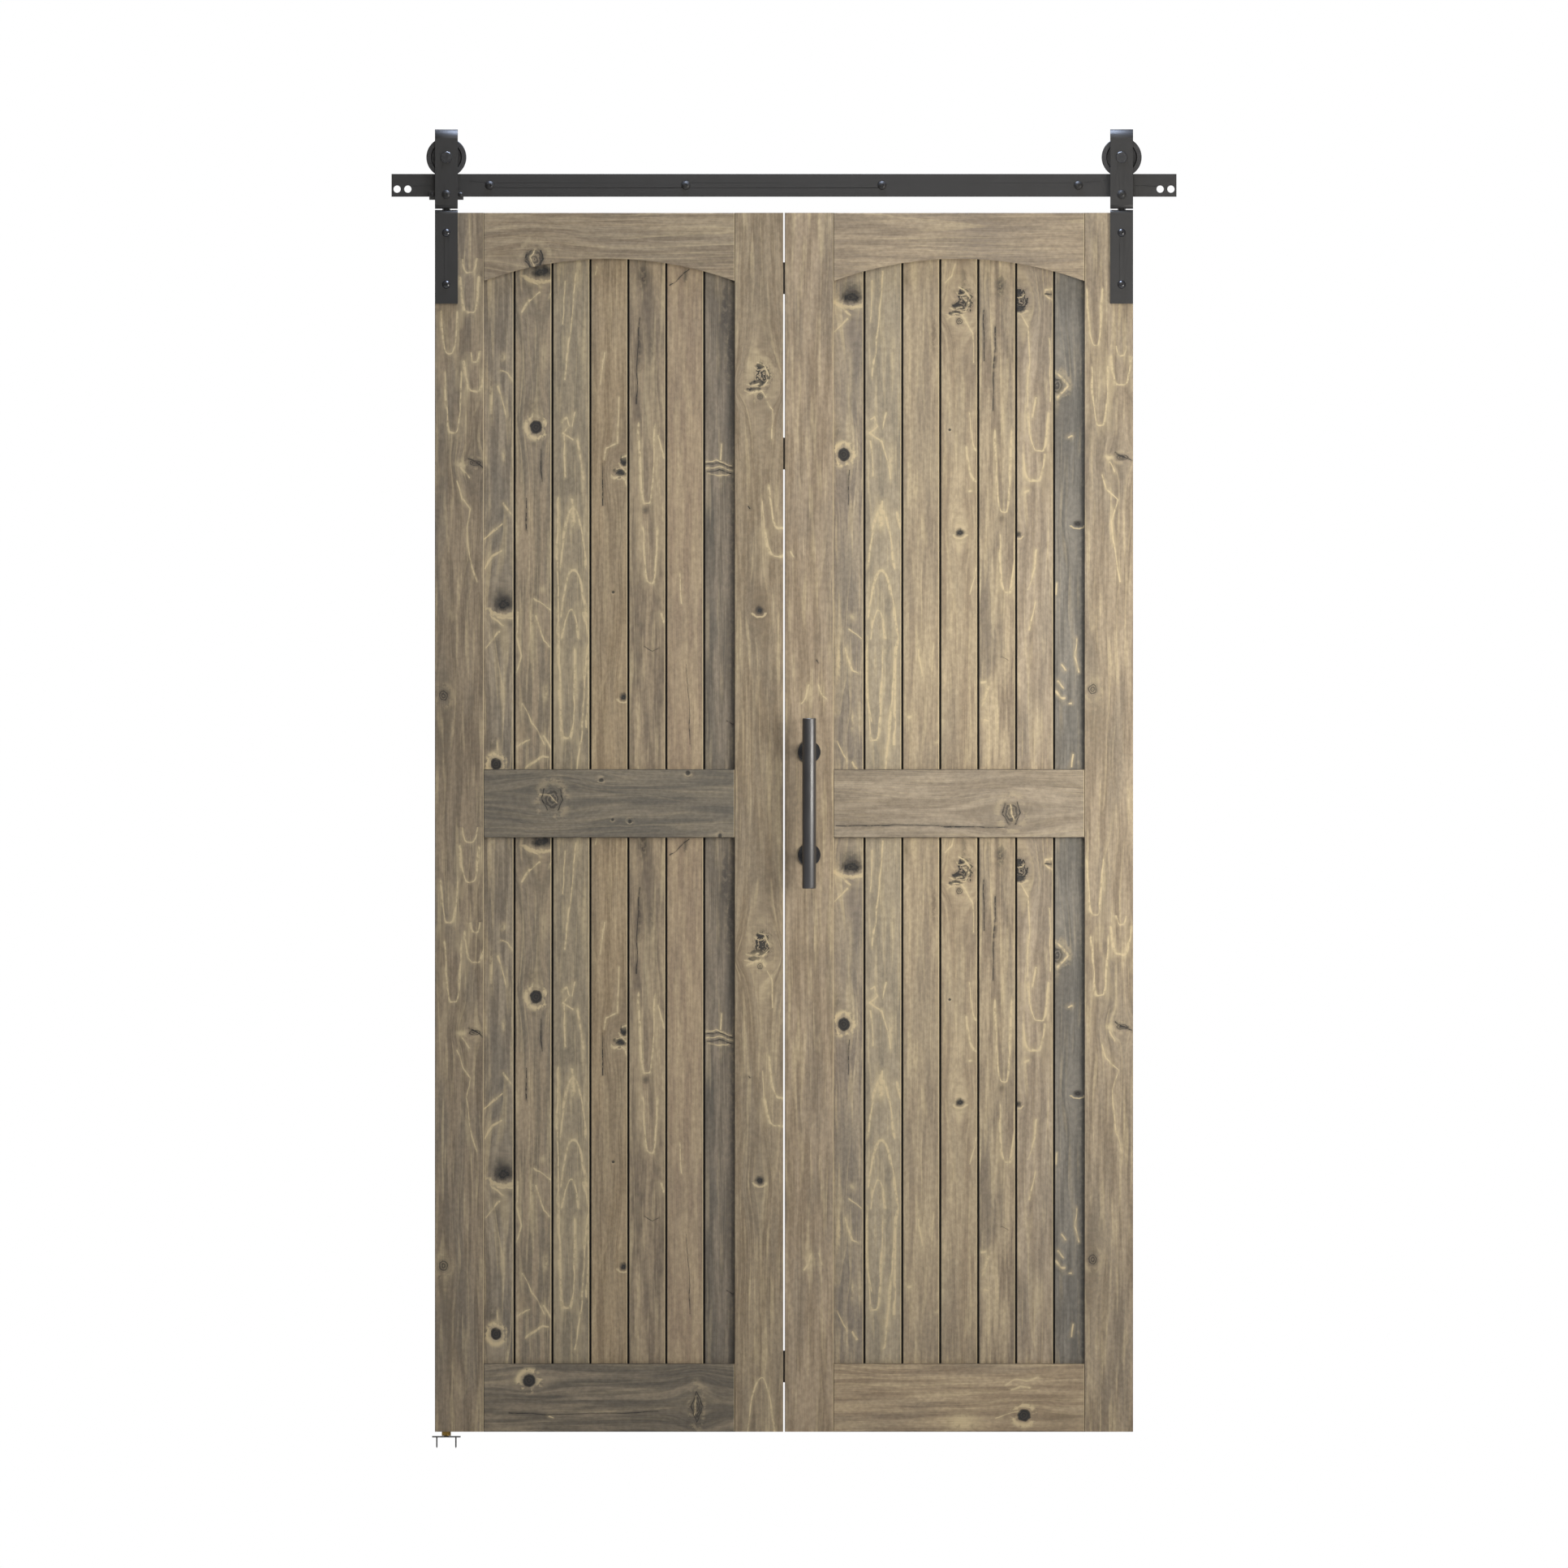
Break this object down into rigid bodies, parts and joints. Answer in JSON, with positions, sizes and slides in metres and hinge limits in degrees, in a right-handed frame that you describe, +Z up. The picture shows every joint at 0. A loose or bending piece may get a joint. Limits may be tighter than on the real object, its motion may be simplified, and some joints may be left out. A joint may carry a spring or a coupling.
{
  "type": "bi-fold barn doors on a flat track",
  "caption": "Pair of arch-panelled knotty pine plank doors hinged together, folding under rolling strap hangers on a flat black wall track, with a bar pull handle.",
  "frame": {"origin": "on the wall plane, at the middle of the horizontal line of track bolts", "axes": "+X to the right seen from the room, +Y into the wall, +Z up"},
  "size_m": [1.374, 0.1655, 2.3092],
  "materials": {
    "pine_stiles": "weathered grey-brown stain on knotty pine, matt",
    "pine_rails": "weathered grey-brown stain on knotty pine, matt",
    "pine_planks": "weathered grey-brown stain on knotty pine, matt",
    "coated_steel": "satin black powder coat",
    "handle_steel": "satin black powder coat",
    "black_fasteners": "black oxide with a light oil sheen",
    "hinge_steel": "black painted steel, satin",
    "wheel_nylon": "turned black nylon",
    "bearing_steel": "ground bearing steel",
    "brass_bush": "turned brass"
  },
  "bodies": {
    "track": {"track_bar": "coated_steel", "track_spacers": "coated_steel", "track_lag_screws": "black_fasteners", "left_hanger_strap": "coated_steel", "left_wheel": "wheel_nylon", "left_wheel_bearing": "bearing_steel", "left_axle_set": "black_fasteners", "clamp_block": "coated_steel", "clamp_screws": "black_fasteners", "floor_bracket": "coated_steel", "floor_screws": "black_fasteners"},
    "left_leaf": {"left_outer_stile": "pine_stiles", "left_inner_stile": "pine_stiles", "left_top_rail": "pine_rails", "left_middle_rail": "pine_rails", "left_bottom_rail": "pine_rails", "left_upper_plank_1": "pine_planks", "left_upper_plank_2": "pine_planks", "left_upper_plank_3": "pine_planks", "left_upper_plank_4": "pine_planks", "left_upper_plank_5": "pine_planks", "left_upper_plank_6": "pine_planks", "left_upper_plank_7": "pine_planks", "left_lower_planks": "pine_planks", "left_door_bracket": "coated_steel", "left_bracket_bolts": "black_fasteners", "left_pivot_bolt": "black_fasteners", "bottom_pivot_bush": "brass_bush", "left_hinge_plates": "hinge_steel", "left_hinge_screws": "black_fasteners", "hinge_pins": "hinge_steel"},
    "right_leaf": {"right_outer_stile": "pine_stiles", "right_inner_stile": "pine_stiles", "right_top_rail": "pine_rails", "right_middle_rail": "pine_rails", "right_bottom_rail": "pine_rails", "right_upper_plank_1": "pine_planks", "right_upper_plank_2": "pine_planks", "right_upper_plank_3": "pine_planks", "right_upper_plank_4": "pine_planks", "right_upper_plank_5": "pine_planks", "right_upper_plank_6": "pine_planks", "right_upper_plank_7": "pine_planks", "right_lower_planks": "pine_planks", "right_door_bracket": "coated_steel", "right_bracket_bolts": "black_fasteners", "right_pivot_bolt": "black_fasteners", "right_hinge_plates": "hinge_steel", "right_hinge_screws": "black_fasteners", "handle_bar": "handle_steel", "handle_posts": "handle_steel", "handle_screws": "black_fasteners"},
    "right_hanger": {"right_hanger_strap": "coated_steel", "right_axle_set": "black_fasteners", "right_bearing_inner": "bearing_steel", "right_guide_block": "coated_steel", "right_strap_screw": "black_fasteners"},
    "right_wheel": {"right_wheel": "wheel_nylon", "right_bearing_outer": "bearing_steel"}
  },
  "joints": [
    {"name": "left_leaf_swing", "type": "hinge", "parent": "track", "child": "left_leaf", "pos_m": [-0.591, -0.041, 0], "axis": [0, 0, -1], "range_deg": [0, 88]},
    {"name": "leaf_fold", "type": "hinge", "parent": "left_leaf", "child": "right_leaf", "pos_m": [0, -0.0136, 0], "axis": [0, 0, 1], "range_deg": [0, 176]},
    {"name": "right_hanger_swivel", "type": "hinge", "parent": "right_leaf", "child": "right_hanger", "pos_m": [0.591, -0.041, 0], "axis": [0, 0, -1], "range_deg": [0, 88]},
    {"name": "right_wheel_spin", "type": "hinge", "parent": "right_hanger", "child": "right_wheel", "pos_m": [0.591, -0.041, 0.04915], "axis": [0, 1, 0], "continuous": true}
  ],
  "couplings": [
    {"joint": "leaf_fold", "follows": "left_leaf_swing", "ratio": 2},
    {"joint": "right_hanger_swivel", "follows": "left_leaf_swing", "ratio": 1}
  ]
}
